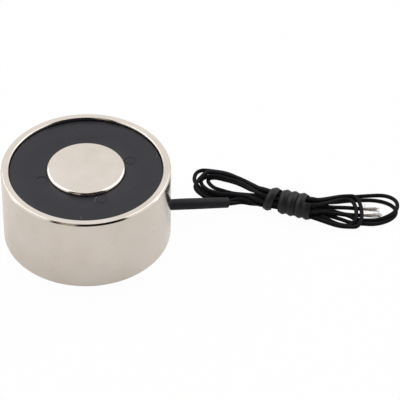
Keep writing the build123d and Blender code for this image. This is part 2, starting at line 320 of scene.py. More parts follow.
def dress(piece: Piece, material: Material, replaced: Iterable[str] = ()) -> None:
    """Gives a finished piece its material, slot and body, and hides what it stands for.

    Args:
        piece: The finished object.
        material: Its material.
        replaced: The nodes that it stands for.
    """
    piece.data.materials.clear()
    piece.data.materials.append(material)
    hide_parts(*replaced)
    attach(piece, ROOT)
    LOG.info("piece %s", piece.name)


# Finishes


class Wiring:
    """A node tree that is built step by step."""

    def __init__(self, tree: bpy.types.NodeTree) -> None:
        """Keeps the tree."""
        self.tree = tree

    def feed(self, socket: Socket, value: object) -> None:
        """Links a socket to an output, or sets it to a plain value."""
        if isinstance(value, Socket):
            self.tree.links.new(value, socket)
        else:
            socket.default_value = value

    def node(self, kind: str, *placed: object, **named: object) -> bpy.types.Node:
        """Adds a shader node and feeds its inputs.

        Args:
            kind: The node's type, without its usual beginning.
            placed: Values or outputs for its first inputs, in their order.
            named: Values or outputs by the input's name, with an underscore for a space.

        Returns:
            The new node.
        """
        made = self.tree.nodes.new("ShaderNode" + kind)
        for socket, value in zip(made.inputs, placed):
            self.feed(socket, value)
        for name, value in named.items():
            self.feed(made.inputs[name.replace("_", " ")], value)
        return made

    def math(self, operation: str, first: object, second: object = 0.0) -> Socket:
        """One arithmetic step on two values."""
        step = self.node("Math", first, second)
        step.operation = operation
        return step.outputs["Value"]

    def finish_with(self, kind: str, share: object, first: Socket, second: Socket) -> None:
        """Mixes two shaders and ends the tree with them.

        Args:
            kind: The type of the output node.
            share: How much of the second shader is seen.
            first: The first shader's output.
            second: The second shader's output.
        """
        mix = self.node("MixShader", share, first, second)
        self.node(kind, Surface=mix.outputs[0])


class Finish(Wiring):
    """A node material that is built round one Principled shader."""

    def __init__(self, name: str) -> None:
        """Starts an empty material with its shader and its object coordinates."""
        self.material = bpy.data.materials.new(name)
        self.material.use_nodes = True
        super().__init__(self.material.node_tree)
        self.shader = self.tree.nodes["Principled BSDF"]
        self.place = self.node("TexCoord").outputs["Object"]

    def set(self, **values: object) -> None:
        """Feeds the shader's own sockets; an underscore in a name stands for a space."""
        for name, value in values.items():
            self.feed(self.shader.inputs[name.replace("_", " ")], value)

    def split(self) -> bpy.types.bpy_prop_collection:
        """The object coordinates, one output for each axis, in metres."""
        return self.node("SeparateXYZ", self.place).outputs

    def stretched(self, scale: Triple) -> Socket:
        """Object coordinates stretched by a scale along each axis."""
        return self.node("Mapping", Scale=scale, Vector=self.place).outputs["Vector"]

    def noise(self, size: float, detail: float = 3.0, place: Socket | None = None) -> Socket:
        """Soft noise.

        Args:
            size: The size of its features in millimetres.
            detail: How many finer layers it has.
            place: Where it is read, or the object coordinates.

        Returns:
            The noise's value, from 0 to 1.
        """
        made = self.node("TexNoise", Scale=1 / (size * MM), Detail=detail, Vector=place or self.place)
        return made.outputs["Fac"]

    def rings(self, pitch: float) -> Socket:
        """Noise that changes with the distance from the Z axis only, with a pitch in millimetres."""
        made = self.node("TexNoise")
        made.noise_dimensions = "1D"
        made.inputs["Scale"].default_value = 1 / (pitch * MM)
        self.feed(made.inputs["W"], self.radius())
        return made.outputs["Fac"]

    def span(self, value: Socket, low: float, high: float, start: float = 0.0, end: float = 1.0) -> Socket:
        """Maps a value to another range and holds it there.

        Args:
            value: The value.
            low: Where its own range begins.
            high: Where its own range ends.
            start: What it becomes at low.
            end: What it becomes at high.

        Returns:
            The mapped value.
        """
        made = self.node("MapRange", Value=value, From_Min=low, From_Max=high, To_Min=start, To_Max=end)
        return made.outputs["Result"]

    def blend(self, share: object, first: object, second: object) -> Socket:
        """A colour between two others.

        Args:
            share: How much of the second one it has, from 0 to 1.
            first: The first colour.
            second: The second colour.

        Returns:
            The colour's output.
        """
        made = self.node("Mix")
        made.data_type = "RGBA"
        for name, value in (("Factor", share), ("A", first), ("B", second)):
            self.feed(made.inputs[name], value)
        return made.outputs["Result"]

    def relief(self, height: Socket, depth: float, below: Socket | None = None) -> Socket:
        """Bump from a height.

        Args:
            height: The height, from 0 to 1.
            depth: How deep the bump is, in millimetres.
            below: The normal of the bump that it lies on, if any.

        Returns:
            The bumped normal.
        """
        made = self.node("Bump", Distance=depth * MM, Height=height)
        if below is not None:
            self.feed(made.inputs["Normal"], below)
        return made.outputs["Normal"]

    def radius(self) -> Socket:
        """Distance from the Z axis, in metres."""
        split = self.split()
        across, along = (self.math("MULTIPLY", split[axis], split[axis]) for axis in "XY")
        return self.math("SQRT", self.math("ADD", across, along))

    def around(self) -> Socket:
        """Direction round the Z axis, in which a turned surface has its grain."""
        split = self.split()
        return self.node("CombineXYZ", self.math("MULTIPLY", split["Y"], -1.0), split["X"]).outputs[0]

    def scratch(self, start: Pair, end: Pair, width: float) -> Socket:
        """One straight scratch on a level face.

        Args:
            start: Where it begins, in millimetres.
            end: Where it ends.
            width: How wide it is.

        Returns:
            1 in the scratch and 0 beside it.
        """
        first, last = Vector(start) * MM, Vector(end) * MM
        middle, run = (first + last) / 2, last - first
        way = run.normalized()
        split = self.split()
        across = [self.math("SUBTRACT", split[axis], at) for axis, at in (("X", middle.x), ("Y", middle.y))]
        shares = []
        for x_share, y_share, half in ((way.x, way.y, run.length / 2), (-way.y, way.x, width * MM / 2)):
            parts = [self.math("MULTIPLY", *pair) for pair in zip(across, (x_share, y_share))]
            step = self.math("ADD", *parts)
            shares.append(self.span(self.math("ABSOLUTE", step), half, half * SCRATCH_CORE))
        return self.math("MULTIPLY", *shares)


@dataclass(frozen=True)
class NickelPlate:
    """Bright nickel plate on turned steel, warm and a little cloudy."""

    light: Colour = (0.745, 0.68, 0.625, 1.0)
    dark: Colour = (0.675, 0.61, 0.54, 1.0)
    cloud_size: float = 19.0
    streak_size: float = 6.0
    streak_stretch: float = 0.35
    streak_share: float = 0.35
    mottle: Pair = (0.45, 0.85)
    rough_size: float = 9.0
    roughness: Pair = (0.12, 0.19)
    wall_roughness: float = 0.15
    wall_radius: float = 32.3
    wall_height: float = 31.3
    wall_fade: float = 0.1
    worn_side: Pair = (25.0, 31.0)
    turning: float = 0.65
    grain_pitch: float = 0.4
    grain_depth: float = 0.0006

    def material(self) -> Material:
        """Builds the node material."""
        finish = Finish("nickel_plate")
        cloud = finish.noise(self.cloud_size, 2.0)
        streak = finish.noise(self.streak_size, 3.0, finish.stretched((1.0, 1.0, self.streak_stretch)))
        mottle = finish.math("ADD", cloud, finish.math("MULTIPLY", streak, self.streak_share))
        rough = finish.span(finish.noise(self.rough_size), *GRAIN_BAND, *self.roughness)
        inner, outer = (self.wall_radius - self.wall_fade) * MM, self.wall_radius * MM
        above, below = (self.wall_height + self.wall_fade) * MM, self.wall_height * MM
        out = finish.span(finish.radius(), inner, outer)
        low = finish.span(finish.split()["Z"], above, below)
        side = [edge * MM for edge in self.worn_side]
        rubbed = finish.span(finish.split()["X"], *side, self.wall_roughness, 0.0)
        wall = finish.math("MULTIPLY", finish.math("MULTIPLY", out, low), rubbed)
        finish.set(
            Base_Color=finish.blend(finish.span(mottle, *self.mottle), self.dark, self.light),
            Roughness=finish.math("ADD", rough, wall),
            Normal=finish.relief(finish.rings(self.grain_pitch), self.grain_depth),
            Tangent=finish.around(),
            Metallic=1.0,
            Anisotropic=self.turning,
            Anisotropic_Rotation=0.25,
        )
        return finish.material


@dataclass(frozen=True)
class MouldedNylon:
    """Black glass-filled nylon, satin, with faint flow marks, a few scratches and a little dust."""

    colour: Colour = (0.0133, 0.0131, 0.0190, 1.0)
    dust: Colour = (0.16, 0.165, 0.16, 1.0)
    dust_size: float = 0.5
    dust_share: Pair = (0.85, 0.92)
    roughness: Pair = (0.34, 0.46)
    flow_size: float = 11.0
    flow_stretch: Triple = (0.5, 1.6, 1.0)
    flow_depth: float = 0.03
    grain_size: float = 0.35
    grain_depth: float = 0.006
    scratches: tuple[tuple[Pair, Pair, float], ...] = (
        ((-0.6, -26.1), (-0.2, -27.8), 0.22),
        ((5.0, -15.0), (4.4, -15.9), 0.3),
        ((4.4, -15.8), (4.2, -16.9), 0.3),
        ((4.2, -16.8), (4.5, -17.6), 0.25),
        ((26.2, 8.6), (27.0, 9.3), 0.25),
    )

    def material(self) -> Material:
        """Builds the node material."""
        finish = Finish("moulded_nylon")
        marks = finish.span(finish.noise(self.dust_size, 0.0), *self.dust_share)
        for scratch in self.scratches:
            marks = finish.math("MAXIMUM", marks, finish.scratch(*scratch))
        flow = finish.noise(self.flow_size, 3.0, finish.stretched(self.flow_stretch))
        grain = finish.relief(finish.noise(self.grain_size, 2.0), self.grain_depth)
        finish.set(
            Base_Color=finish.blend(marks, self.colour, self.dust),
            Roughness=finish.span(flow, *GRAIN_BAND, *self.roughness),
            Normal=finish.relief(flow, self.flow_depth, grain),
            Specular_IOR_Level=0.3,
        )
        return finish.material


@dataclass(frozen=True)
class SoftCover:
    """Extruded insulation or sleeving: dark, satin, with a fine drawn surface."""

    name: str
    colour: Colour
    rubbed: Colour
    roughness: Pair
    specular: float
    grain_size: float
    grain_depth: float
    rub_size: float = 4.0
    rub_share: Pair = (0.45, 0.75)
    rough_size: float = 2.5

    def material(self) -> Material:
        """Builds the node material."""
        finish = Finish(self.name)
        share = finish.span(finish.noise(self.rub_size), *self.rub_share)
        grain = finish.noise(self.grain_size, 2.0)
        finish.set(
            Base_Color=finish.blend(share, self.colour, self.rubbed),
            Roughness=finish.span(finish.noise(self.rough_size), 0.3, 0.7, *self.roughness),
            Normal=finish.relief(grain, self.grain_depth),
            Specular_IOR_Level=self.specular,
        )
        return finish.material


@dataclass(frozen=True)
class DrawnMetal:
    """A plain metal of the inner pieces or the strands, with its colour broken by fine noise."""

    name: str
    light: Colour
    dark: Colour
    roughness: float
    grain_size: float
    grain_depth: float = 0.02
    roughest: float = 0.6
    stretch: Triple = (1.0, 1.0, 1.0)

    def material(self) -> Material:
        """Builds the node material."""
        finish = Finish(self.name)
        grain = finish.noise(self.grain_size, 2.0, finish.stretched(self.stretch))
        finish.set(
            Base_Color=finish.blend(finish.span(grain, *GRAIN_BAND), self.dark, self.light),
            Normal=finish.relief(grain, self.grain_depth),
            Roughness=finish.span(grain, 0.2, 0.8, self.roughness, self.roughest),
            Metallic=1.0,
        )
        return finish.material


INSULATION = SoftCover(
    name="lead_insulation", colour=(0.0080, 0.0080, 0.0096, 1.0), rubbed=(0.0115, 0.0115, 0.0135, 1.0),
    roughness=(0.42, 0.52), specular=0.05, grain_size=0.5, grain_depth=0.004,
)
SLEEVING = SoftCover(
    name="lead_sleeving", colour=(0.018, 0.0178, 0.0212, 1.0), rubbed=(0.0215, 0.0213, 0.0248, 1.0),
    roughness=(0.42, 0.50), specular=0.12, grain_size=0.6, grain_depth=0.004,
)
RIBBON = SoftCover(
    name="tie_ribbon", colour=(0.012, 0.012, 0.0125, 1.0), rubbed=(0.022, 0.022, 0.023, 1.0),
    roughness=(0.42, 0.56), specular=0.24, grain_size=0.4, grain_depth=0.010,
)
SHRUNK_SLEEVE = SoftCover(
    name="shrunk_sleeve", colour=(0.012, 0.012, 0.013, 1.0), rubbed=(0.02, 0.02, 0.022, 1.0),
    roughness=(0.4, 0.5), specular=0.4, grain_size=0.7, grain_depth=0.006,
)
CAST_RESIN = SoftCover(
    name="cast_resin", colour=(0.01, 0.01, 0.011, 1.0), rubbed=(0.02, 0.02, 0.021, 1.0),
    roughness=(0.18, 0.3), specular=0.5, grain_size=1.5, grain_depth=0.01,
)
FILM_TAPE = SoftCover(
    name="film_tape", colour=(0.62, 0.44, 0.07, 1.0), rubbed=(0.72, 0.55, 0.14, 1.0), roughness=(0.2, 0.32),
    specular=0.5, grain_size=1.2, grain_depth=0.006,
)
TINNED = DrawnMetal(
    name="tinned_copper", light=(0.56, 0.51, 0.45, 1.0), dark=(0.16, 0.125, 0.09, 1.0), roughness=0.34,
    grain_size=0.6,
)
SOLDER = DrawnMetal(
    name="solder", light=(0.72, 0.72, 0.72, 1.0), dark=(0.5, 0.5, 0.5, 1.0), roughness=0.3, grain_size=0.8,
)
MAGNET_WIRE = DrawnMetal(
    name="magnet_wire", light=(0.62, 0.27, 0.11, 1.0), dark=(0.30, 0.11, 0.04, 1.0), roughness=0.3,
    grain_size=0.6, stretch=(0.04, 0.04, 1.0),
)


# The magnet


@dataclass
class PotHousing:
    """The turned and plated steel cup."""

    finish: NickelPlate
    radius: float = 32.5
    height: float = 32.0
    wall: float = 3.0
    floor: float = 5.5
    outer_edge: float = 0.62
    bore_edge: float = 0.3
    ease: float = 0.09
    smooth_below: float = 50.0
    spigot_bore: float = 8.02
    lead_angle: float = 12.0
    lead_height: float = 8.0
    lead_hole: float = 2.1
    steps: int = 288

    def build(self) -> Piece:
        """Turns the cup, bores the lead hole and dresses it."""
        bore = self.radius - self.wall
        pot = turned(
            "pot_shell",
            [
                Corner(self.spigot_bore, 0.0),
                Corner(self.radius - self.outer_edge, 0.0, self.ease, 3),
                Corner(self.radius, self.outer_edge, self.ease, 3),
                Corner(self.radius, self.height - self.outer_edge, self.ease, 3),
                Corner(self.radius - self.outer_edge, self.height, self.ease, 3),
                Corner(bore + self.bore_edge, self.height, self.ease / 2, 2),
                Corner(bore, self.height - self.bore_edge, self.ease / 2, 2),
                Corner(bore, self.floor),
                Corner(self.spigot_bore, self.floor),
            ],
            self.steps,
        )
        cut(pot, self.lead_drill())
        smooth(pot, self.smooth_below)
        keep_faces_flat(pot)
        dress(pot, self.finish.material(), ["pot_housing"])
        return pot

    def lead_drill(self) -> Piece:
        """The cylinder that bores the lead hole through the wall."""
        angle = math.radians(self.lead_angle)
        middle = (self.radius - self.wall / 2) * MM
        deselect_all()
        bpy.ops.mesh.primitive_cylinder_add(
            vertices=64,
            radius=self.lead_hole * MM,
            depth=2 * self.wall * MM,
            location=(middle * math.cos(angle), middle * math.sin(angle), self.lead_height * MM),
            rotation=(0.0, math.pi / 2, angle),
        )
        drill = bpy.context.object
        apply_place(drill)
        return drill


@dataclass
class CentrePole:
    """The turned core with its spigot and its threaded hole."""

    finish: Material
    radius: float = 15.0
    height: float = 32.0
    edge: float = 0.95
    edge_steps: int = 9
    floor: float = 5.5
    spigot: float = 8.0
    spigot_edge: float = 0.4
    thread_outer: float = 4.0
    thread_inner: float = 3.4
    thread_mouth: float = 4.2
    thread_depth: float = 12.0
    thread_pitch: float = 1.25
    thread_steps: int = 60
    drill_point: float = 1.9
    steps: int = 192

    def build(self) -> Piece:
        """Turns the core, cuts its thread and dresses it."""
        core = turned(
            "pole_core",
            [
                Corner(0.0, self.height),
                Corner(self.radius, self.height, self.edge, self.edge_steps),
                Corner(self.radius, self.floor),
                Corner(self.spigot, self.floor),
                Corner(self.spigot, 0.0, self.spigot_edge, 2),
                Corner(self.thread_mouth, 0.0),
                Corner(self.thread_outer, self.thread_mouth - self.thread_outer),
                Corner(self.thread_outer, self.thread_depth),
                Corner(0.0, self.thread_depth + self.drill_point),
            ],
            self.steps,
        )
        pole = join([core, self.thread()])
        smooth(pole)
        keep_faces_flat(pole)
        dress(pole, self.finish, ["centre_pole"])
        return pole

    def thread(self) -> Piece:
        """The thread's ridge: one tooth that a screw carries up the hole."""
        deselect_all()
        bpy.ops.mesh.primitive_plane_add(size=1.0, location=(0.0, 0.0, 0.0), rotation=(math.pi / 2, 0, 0))
        ridge = bpy.context.object
        ridge.name = "thread_ridge"
        apply_place(ridge)
        crest = self.thread_pitch / 8
        root = self.thread_pitch * 7 / 16
        bottom = self.thread_mouth - self.thread_inner + root
        for vert in ridge.data.vertices:
            inner = vert.co.x < 0
            half = crest / 2 if inner else root
            radius = self.thread_inner if inner else self.thread_outer + crest / 2
            vert.co = Vector((radius, 0.0, bottom + math.copysign(half, vert.co.z))) * MM
        turns = int((self.thread_depth - bottom - root) / self.thread_pitch)
        screw = ridge.modifiers.new("thread", "SCREW")
        screw.axis = "Z"
        screw.angle = math.tau
        screw.screw_offset = self.thread_pitch * MM
        screw.iterations = turns
        screw.steps = self.thread_steps
        screw.render_steps = self.thread_steps
        screw.use_merge_vertices = False
        apply_modifiers(ridge)
        face_outwards(ridge)
        return ridge


@dataclass
class EjectorMark:
    """The witness mark of one ejector pin in the black face, deeper to one side."""

    angle: float
    depth: float
    rim_depth: float
    lean: float = 0.0
    lean_towards: float = 0.0


@dataclass
class Bobbin:
    """The moulded bobbin, whose front flange is the black face of the magnet."""

    finish: MouldedNylon
    bore: float = 15.15
    tube: float = 16.35
    flange: float = 29.3
    back_flange: float = 26.0
    bottom: float = 5.6
    face: float = 30.8
    front_thickness: float = 1.8
    back_thickness: float = 1.2
    edge: float = 0.3
    inner_edge: float = 0.2
    bore_edge: float = 0.1
    notch: Pair = (2.0, 4.0)
    notch_angle: float = 12.0
    mark_radius: float = 2.2
    mark_circle: float = 17.7
    groove: float = 0.28
    marks: list[EjectorMark] = field(
        default_factory=lambda: [
            EjectorMark(19.5, 0.01, 0.14, 2.0, 265.0),
            EjectorMark(109.0, 0.03, 0.05),
            EjectorMark(201.5, 0.03, 0.09, 2.6, 95.0),
            EjectorMark(292.0, 0.01, 0.13, 2.4, 285.0),
        ]
    )
    steps: int = 192

    def build(self) -> Piece:
        """Turns the bobbin's form, cuts its marks and its notch and dresses it."""
        bobbin = turned(
            "bobbin_moulding",
            [
                Corner(self.bore, self.bottom),
                Corner(self.back_flange, self.bottom, self.inner_edge, 2),
                Corner(self.back_flange, self.bottom + self.back_thickness, self.inner_edge, 2),
                Corner(self.tube, self.bottom + self.back_thickness, self.inner_edge, 2),
                Corner(self.tube, self.face - self.front_thickness, self.inner_edge, 2),
                Corner(self.flange, self.face - self.front_thickness),
                Corner(self.flange, self.face, self.edge, 3),
                Corner(self.bore, self.face, self.bore_edge, 2),
            ],
            self.steps,
        )
        for mark in self.marks:
            cut(bobbin, self.mark_pin(mark))
        cut(bobbin, self.notch_block())
        smooth(bobbin)
        dress(bobbin, self.finish.material(), ["bobbin"])
        return bobbin

    def mark_pin(self, mark: EjectorMark) -> Piece:
        """The pin that leaves one mark: a flat face inside a slightly deeper rim."""
        pin = turned(
            "ejector_pin",
            [
                Corner(0.0, 1.0),
                Corner(self.mark_radius, 1.0),
                Corner(self.mark_radius, -mark.rim_depth),
                Corner(self.mark_radius - self.groove, -mark.rim_depth),
                Corner(self.mark_radius - self.groove, -mark.depth),
                Corner(0.0, -mark.depth),
            ],
            48,
        )
        angle = math.radians(mark.angle)
        towards = math.radians(mark.lean_towards)
        axis = Vector((-math.sin(towards), math.cos(towards), 0.0))
        pin.rotation_euler = Matrix.Rotation(math.radians(mark.lean), 3, axis).to_euler()
        place = Vector((math.cos(angle), math.sin(angle), 0.0)) * self.mark_circle
        pin.location = (place + Vector((0.0, 0.0, self.face))) * MM
        apply_place(pin)
        return pin

    def notch_block(self) -> Piece:
        """The block that leaves the notch for the coil's ends in the back flange."""
        angle = math.radians(self.notch_angle)
        deselect_all()
        bpy.ops.mesh.primitive_cube_add(
            size=1.0,
            location=(
                self.back_flange * math.cos(angle) * MM,
                self.back_flange * math.sin(angle) * MM,
                (self.bottom + self.back_thickness / 2) * MM,
            ),
            rotation=(0.0, 0.0, angle),
            scale=(2 * self.notch[1] * MM, self.notch[0] * MM, 2 * self.back_thickness * MM),
        )
        block = bpy.context.object
        apply_place(block)
        return block


# The leads


@dataclass
class LeadExit:
    """Where the leads leave the pot and how they reach the hank, in millimetres."""

    angle: float = 12.0
    height: float = 8.0
    riser_radius: float = 27.0
    riser_pitch: float = 2.7
    riser_top: float = 13.5
    spread_height: float = 10.6
    pitch: float = 1.6
    hole_outside: float = 32.6
    sleeve_start: float = 28.6
    bend: Triple = (34.7, 7.3, 7.55)
    middle: Triple = (44.8, 10.5, 5.4)
    at_floor: Triple = (56.4, 14.65, 2.5)

    def in_pot(self, radius: float, across: float, height: float) -> Vector:
        """Point at a radius along the lead hole's direction, a step across it and a height."""
        angle = math.radians(self.angle)
        return Vector(
            (
                radius * math.cos(angle) - across * math.sin(angle),
                radius * math.sin(angle) + across * math.cos(angle),
                height,
            )
        )

    def middle_line(self) -> list[Vector]:
        """The line between the two leads, from inside the pot to the sleeve's end."""
        start = self.in_pot(self.riser_radius, 0.0, self.height)
        return [start, Vector(self.bend), Vector(self.middle), Vector(self.at_floor)]

    def lead_points(self, side: int) -> list[Vector]:
        """The points of one lead up to the sleeve's end.

        Args:
            side: 1 for the lead on the far side, -1 for the one on the near side.

        Returns:
            Its points, from its splice outwards.
        """
        riser = side * self.riser_pitch / 2
        across = side * self.pitch / 2
        line = self.middle_line()
        normals = [Vector((a.y - b.y, b.x - a.x, 0.0)).normalized() for a, b in zip(line, line[1:])]
        points = [
            self.in_pot(self.riser_radius, riser, self.riser_top),
            self.in_pot(self.riser_radius, riser, self.spread_height),
        ]
        for point, left, right in zip(line, normals[:1] + normals, normals + normals[-1:]):
            points.append(point + (left + right) * (across / (1 + left.dot(right))))
        return points


@dataclass
class Fold:
    """One fold of a lead: the round end of a squarish oval that the wire follows."""

    centre: Pair
    reach: float
    half_width: float
    turn: float
    squareness: float
    heights: Triple
    side: Side
    count: int = 13
    spread: float = 84.0

    def points(self) -> list[Vector]:
        """The fold's points in the order in which the wire meets them."""
        sign = self.side.value
        found = []
        for index in range(self.count):
            share = index / (self.count - 1)
            angle = math.radians(sign * self.spread * (2 * share - 1))
            along = sign * self.reach * math.cos(angle) ** (2 / self.squareness)
            across = self.half_width * abs(math.sin(angle)) ** (2 / self.squareness)
            across = math.copysign(across, math.sin(angle))
            start, middle, end = self.heights
            height = start * (1 - share) * (1 - 2 * share)
            height += 4 * middle * share * (1 - share) + end * share * (2 * share - 1)
            turned_point = Matrix.Rotation(math.radians(self.turn), 2) @ Vector((along, across))
            found.append(Vector((*(turned_point + Vector(self.centre)), height)))
        return found


@dataclass
class TieAxis:
    """The middle line of the tied bundle, in millimetres.

    The stations are places along it, and the spread is how wide the bundle is at each of them.
    """

    start: Triple = (68.9, 15.3, 4.95)
    end: Triple = (87.4, 9.4, 5.38)
    stations: tuple[float, ...] = (-1.2, 4.5, 9.6, 14.8, 20.5)
    spread: tuple[float, ...] = (1.3, 1.08, 1.1, 1.18, 1.44)

    def run(self) -> Vector:
        """Direction from the left end to the right end."""
        return (Vector(self.end) - Vector(self.start)).normalized()

    def aside(self) -> Vector:
        """Level direction across the bundle, to the far side."""
        run = self.run()
        return Vector((-run.y, run.x, 0.0)).normalized()

    def length(self) -> float:
        """Length of the tie."""
        return (Vector(self.end) - Vector(self.start)).length

    def passage(self, place: BundlePlace, side: Side) -> list[Vector]:
        """Points of one wire through the tie.

        Args:
            place: The wire's place in the bundle.
            side: The side to which the wire runs.

        Returns:
            Its points in the order in which the wire meets them.
        """
        angle, distance = math.radians(place.value[0]), place.value[1]
        across = self.aside() * math.cos(angle) + self.run().cross(self.aside()) * math.sin(angle)
        points = [
            Vector(self.start) + self.run() * along + across * distance * spread
            for along, spread in zip(self.stations, self.spread)
        ]
        return points if side is Side.RIGHT else points[::-1]


@dataclass
class Lead:
    """One insulated lead, from its splice through the sleeve and the hank to its bare end."""

    name: str
    side: int
    replaced: list[str]
    steps: list[Triple | Fold | tuple[BundlePlace, Side]]

    def route(self, exit_line: LeadExit, tie: TieAxis) -> tuple[list[Vector], list[bool]]:
        """The way of the lead.

        Args:
            exit_line: How it leaves the pot.
            tie: Where it is tied.

        Returns:
            Its points in millimetres, and for each whether it is held in place.
        """
        points = exit_line.lead_points(self.side)
        held = [True] * len(points)
        for step in self.steps:
            if isinstance(step, Fold):
                found, fixed = step.points(), False
            elif isinstance(step[0], BundlePlace):
                found, fixed = tie.passage(*step), True
            else:
                found, fixed = [Vector(step)], False
            points += found
            held += [fixed] * len(found)
        held[-2:] = [True, True]
        return points, held


@dataclass
class Hank:
    """Both leads, folded and tied, and settled so that no wire lies in another."""

    wire_radius: float = 0.8
    clearance: float = 0.02
    samples: int = 4
    rounds: int = 40
    gain: float = 0.6
    easing: float = 0.25
    neighbours: float = 4.5
    curve_steps: int = 6
    bevel_steps: int = 7
    insulation: SoftCover = INSULATION

    def weights(self, count: int) -> np.ndarray:
        """How much each point counts in each sample of the wire's smooth line.

        Args:
            count: How many points the wire has.

        Returns:
            A table with a row for each sample and a column for each point.
        """
        share = np.arange(self.samples) / self.samples
        parts = np.stack([(1 - share) ** 2 / 2, 0.5 + share - share**2, share**2 / 2], axis=1)
        table = np.zeros(((count - 2) * self.samples, count))
        for index in range(count - 2):
            table[index * self.samples : (index + 1) * self.samples, index : index + 3] = parts
        return table

    def settle(self, routes: list[list[Vector]], held: list[list[bool]]) -> list[np.ndarray]:
        """Pushes wires apart wherever they are closer than their thickness.

        Args:
            routes: The points of each lead, in millimetres.
            held: For each point whether it stays where it is.

        Returns:
            The settled points of each lead.
        """
        counts = [len(route) for route in routes]
        first = np.array([tuple(point) for route in routes for point in route])
        free = ~np.array([flag for flags in held for flag in flags])[:, None]
        tables = [self.weights(count) for count in counts]
        table = np.block(
            [
                [tables[0], np.zeros((len(tables[0]), counts[1]))],
                [np.zeros((len(tables[1]), counts[0])), tables[1]],
            ]
        )
        line = table @ first
        lead = np.repeat([0, 1], [len(part) for part in tables])
        steps = np.linalg.norm(np.diff(line, axis=0), axis=1)
        along = np.concatenate([[0.0], np.cumsum(steps)])
        apart = np.abs(along[:, None] - along[None]) > self.neighbours
        apart |= lead[:, None] != lead[None]
        share = table.sum(axis=0)[:, None]
        thickness = 2 * self.wire_radius + self.clearance
        ends = (0, counts[0] - 1, counts[0], -1)
        moved = np.zeros_like(first)
        for _ in range(self.rounds):
            line = table @ (first + moved)
            gap = line[:, None] - line[None]
            distance = np.sqrt((gap**2).sum(axis=2))
            overlap = np.where((distance < thickness) & apart, thickness - distance, 0.0)
            push = (gap / np.maximum(distance, 1e-3)[..., None] * overlap[..., None]).sum(axis=1)
            push /= np.maximum((overlap > 0).sum(axis=1), 1)[:, None]
            push[:, 2] += np.maximum(self.wire_radius - line[:, 2], 0.0)
            moved = moved + table.T @ push / share * self.gain
            mean = moved.copy()
            mean[1:-1] = (moved[:-2] + moved[2:]) / 2
            mean[list(ends)] = moved[list(ends)]
            moved = np.where(free, moved + (mean - moved) * self.easing, 0.0)
            low = self.wire_radius - first[:, 2]
            moved[:, 2] = np.maximum(moved[:, 2], low)
        LOG.info("settled: deepest overlap left %.2f mm", float(overlap.max()))
        settled = first + moved
        return [settled[: counts[0]], settled[counts[0] :]]

    def build(self, leads: Sequence[Lead], exit_line: LeadExit, tie: TieAxis) -> list[Piece]:
        """Settles the leads and makes each one a smooth curve of its real thickness.

        Args:
            leads: The two leads.
            exit_line: How they leave the pot.
            tie: Where they are tied.

        Returns:
            The curve object of each lead.
        """
        found = [lead.route(exit_line, tie) for lead in leads]
        settled = self.settle([route for route, _ in found], [held for _, held in found])
        material = self.insulation.material()
        pieces = []
        for lead, points in zip(leads, settled):
            piece = smooth_curve(lead.name, points, self.curve_steps)
            piece.data.bevel_depth = self.wire_radius * MM
            piece.data.bevel_resolution = self.bevel_steps
            piece.data.use_fill_caps = True
            dress(piece, material, lead.replaced)
            pieces.append(piece)
        return pieces


@dataclass
class LeadSleeve:
    """The sleeve over both leads: a thin soft tube, cut square at its end."""

    exit_line: LeadExit
    finish: SoftCover = SLEEVING
    radii: tuple[float, ...] = (2.06, 2.28, 2.2, 2.08)
    wall: float = 0.42
    setback: float = 1.9
    cut_edge: float = 0.08
    cut_angle: float = 60.0
    smooth_below: float = 50.0
    steps: int = 24

    def build(self) -> Piece:
        """Sweeps a circle along the sleeve's line, gives it a wall and dresses it."""
        line = self.exit_line.middle_line()
        run = (line[3] - line[2]).normalized()
        points = [
            self.exit_line.in_pot(self.exit_line.sleeve_start, 0.0, self.exit_line.height),
            line[1],
            line[2],
            line[3] - run * self.setback,
        ]
        sleeve = swept("sleeve", points, self.radii, self.steps)
        wall = sleeve.modifiers.new("wall", "SOLIDIFY")
        wall.thickness = self.wall * MM
        wall.offset = -1.0
        edge = sleeve.modifiers.new("cut_edge", "BEVEL")
        edge.width = self.cut_edge * MM
        edge.segments = 2
        edge.limit_method = "ANGLE"
        edge.angle_limit = math.radians(self.cut_angle)
        apply_modifiers(sleeve)
        smooth(sleeve, self.smooth_below)
        dress(sleeve, self.finish.material(), ["lead_sleeve"])
        return sleeve


